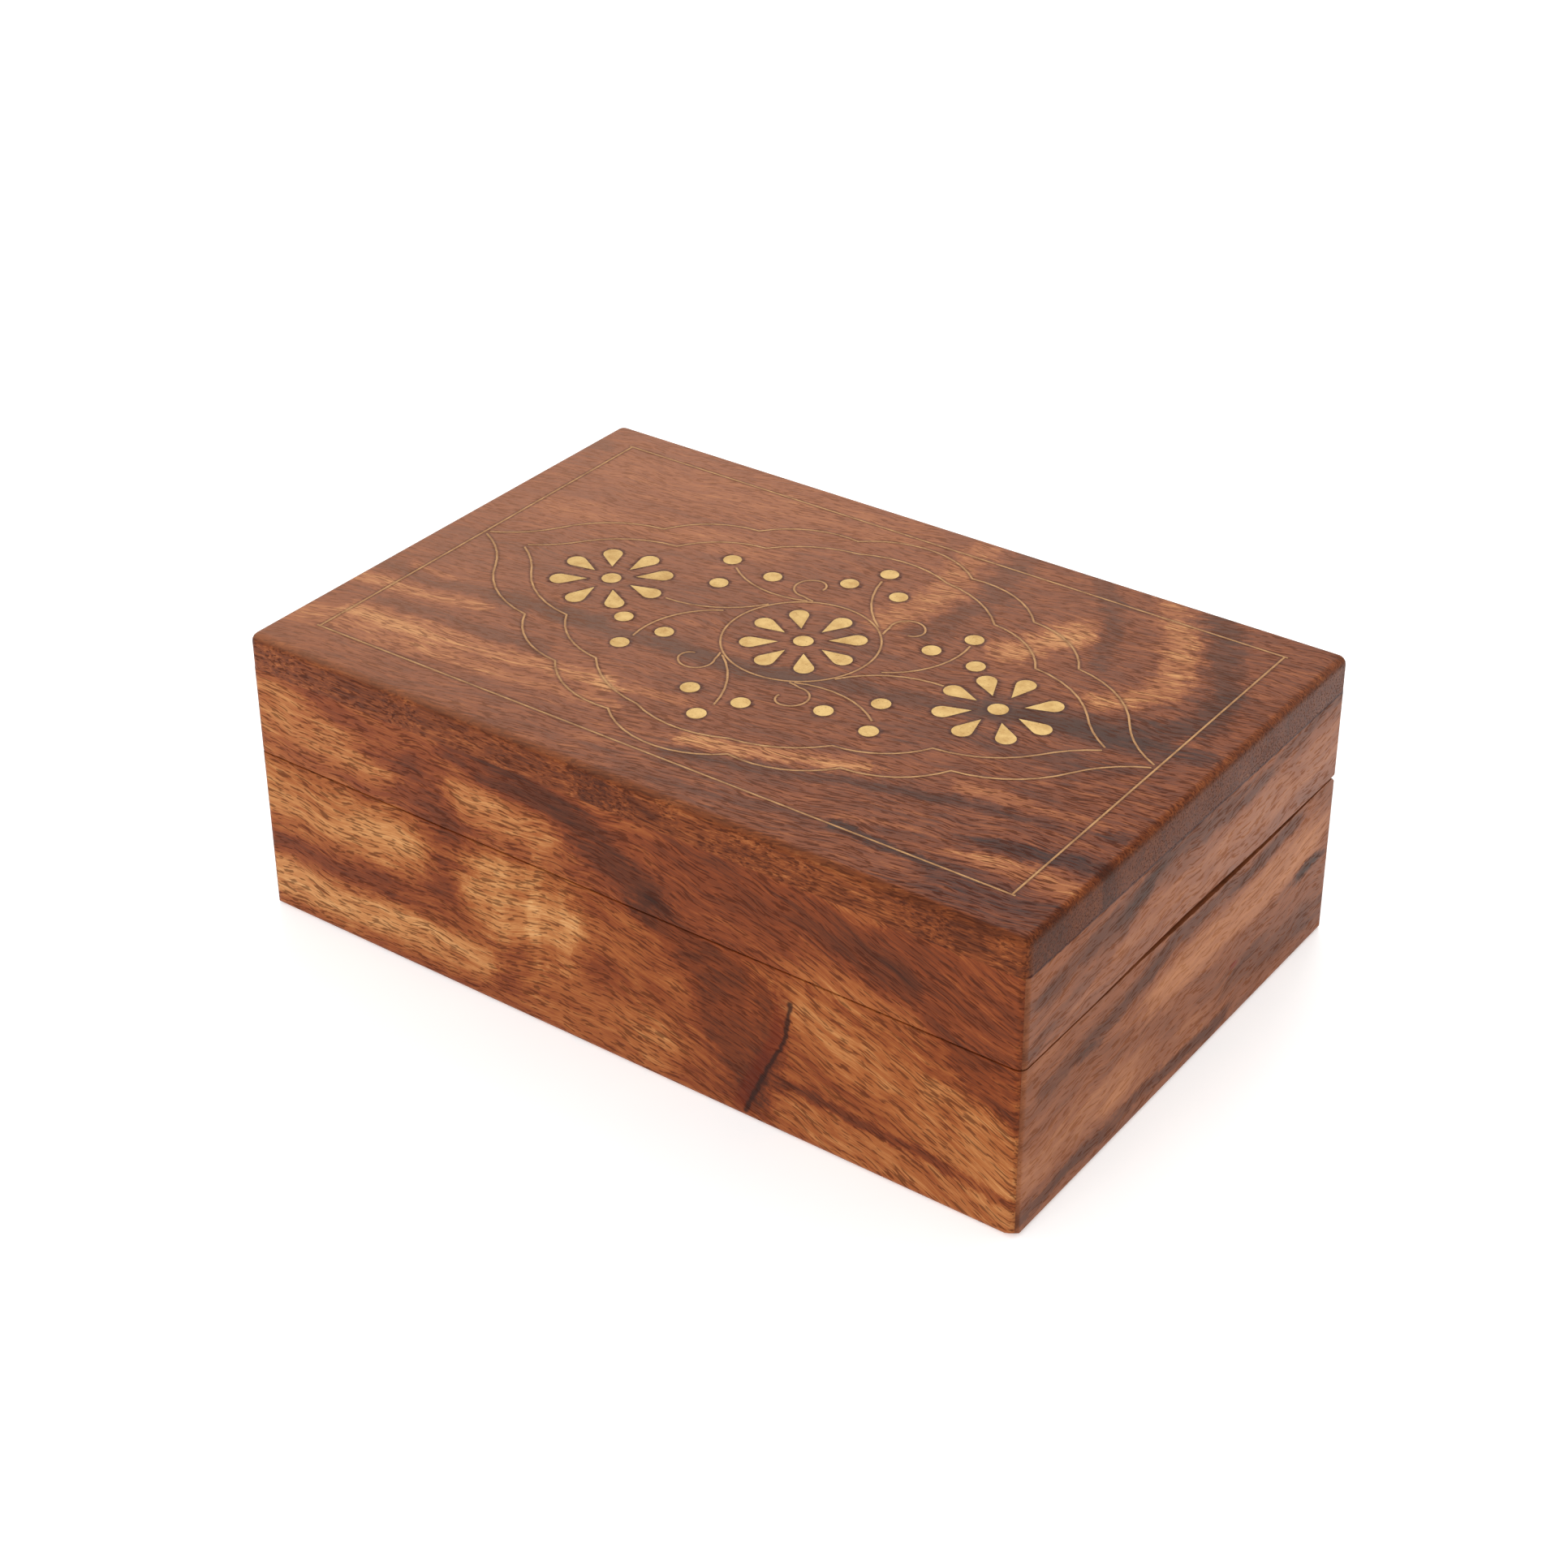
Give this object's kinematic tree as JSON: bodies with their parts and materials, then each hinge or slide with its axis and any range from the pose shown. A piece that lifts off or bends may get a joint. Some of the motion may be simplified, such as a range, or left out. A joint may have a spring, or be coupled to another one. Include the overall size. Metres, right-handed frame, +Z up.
{
  "type": "wooden box",
  "caption": "Rectangular wooden trinket box with rounded edges, a hinged lid inlaid with a brass flower and scroll pattern, and a cloth lining.",
  "frame": {"origin": "centre of the underside, on the plane the box stands on", "axes": "+X to the right along the length, +Y towards the hinges at the back, +Z up"},
  "size_m": [0.2, 0.131, 0.071],
  "materials": {
    "wood": "thin satin lacquer over figured rosewood-like hardwood",
    "top_wood": "thin satin lacquer over figured rosewood-like hardwood, darkened round the inlay",
    "panel_wood": "bare sanded wood",
    "velvet": "short pile velvet",
    "inlay_brass": "sanded flush, dull",
    "hinge_brass": "pressed sheet, slightly tarnished",
    "hinge_steel": "plated, slightly dull"
  },
  "bodies": {
    "base": {"base_front_board": "wood", "base_back_board": "wood", "base_left_board": "wood", "base_right_board": "wood", "bottom_panel": "panel_wood", "floor_lining": "velvet", "front_lining": "velvet", "back_lining": "velvet", "left_lining": "velvet", "right_lining": "velvet", "left_hinge_base_leaf": "hinge_brass", "right_hinge_base_leaf": "hinge_brass", "left_hinge_pin": "hinge_steel", "right_hinge_pin": "hinge_steel", "base_hinge_screws": "hinge_steel"},
    "lid": {"lid_front_board": "wood", "lid_back_board": "wood", "lid_left_board": "wood", "lid_right_board": "wood", "lid_top_board": "top_wood", "lid_lining": "velvet", "left_hinge_lid_leaf": "hinge_brass", "right_hinge_lid_leaf": "hinge_brass", "lid_hinge_screws": "hinge_steel", "left_flower_petals": "inlay_brass", "middle_flower_petals": "inlay_brass", "right_flower_petals": "inlay_brass", "flower_centres": "inlay_brass", "loose_dots": "inlay_brass", "ring_wire": "inlay_brass", "curl_wires": "inlay_brass", "back_stem_wire": "inlay_brass", "back_left_stem_wire": "inlay_brass", "left_flower_stem_wire": "inlay_brass", "front_left_stem_wire": "inlay_brass", "front_stem_wire": "inlay_brass", "front_right_stem_wire": "inlay_brass", "right_flower_stem_wire": "inlay_brass", "back_right_stem_wire": "inlay_brass", "outer_outline_back_wire": "inlay_brass", "outer_outline_front_wire": "inlay_brass", "inner_outline_back_wire": "inlay_brass", "inner_outline_front_wire": "inlay_brass", "border_front_wire": "inlay_brass", "border_back_wire": "inlay_brass", "border_left_wire": "inlay_brass", "border_right_wire": "inlay_brass"}
  },
  "joints": [
    {"name": "lid_hinge", "type": "hinge", "parent": "base", "child": "lid", "pos_m": [0, 0.0642, 0.041], "axis": [-1, 0, 0], "range_deg": [0, 97]}
  ]
}
